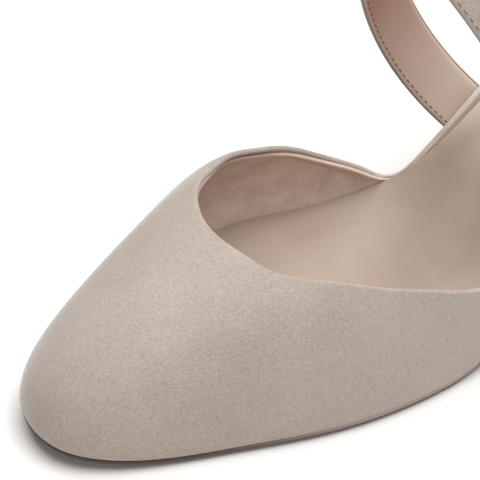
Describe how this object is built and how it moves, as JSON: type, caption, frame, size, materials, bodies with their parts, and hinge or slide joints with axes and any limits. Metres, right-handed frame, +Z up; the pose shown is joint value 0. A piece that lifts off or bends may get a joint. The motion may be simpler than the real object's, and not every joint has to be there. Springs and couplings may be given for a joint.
{
  "type": "high heel shoe",
  "caption": "High heel shoe in beige suede with an almond toe, a low-cut inner side, a buckled instep strap and a slim covered heel.",
  "frame": {"origin": "middle of the shoe's bounding box on the floor plane", "axes": "+X to the toe, +Y to the outer side of this left shoe, +Z up"},
  "size_m": [0.2372, 0.081, 0.1264],
  "materials": {
    "suede": "short nap, matte",
    "lining_leather": "smooth, satin",
    "dark_sole": "matte dark brown",
    "buckle_metal": "polished, pale"
  },
  "bodies": {
    "root": {"upper": "suede", "insole": "lining_leather", "outsole": "dark_sole", "heel": "suede", "heel_top_piece": "dark_sole", "strap": "suede", "strap_tab": "suede", "strap_keeper": "suede", "buckle_frame": "buckle_metal", "buckle_prong": "buckle_metal"}
  },
  "joints": []
}
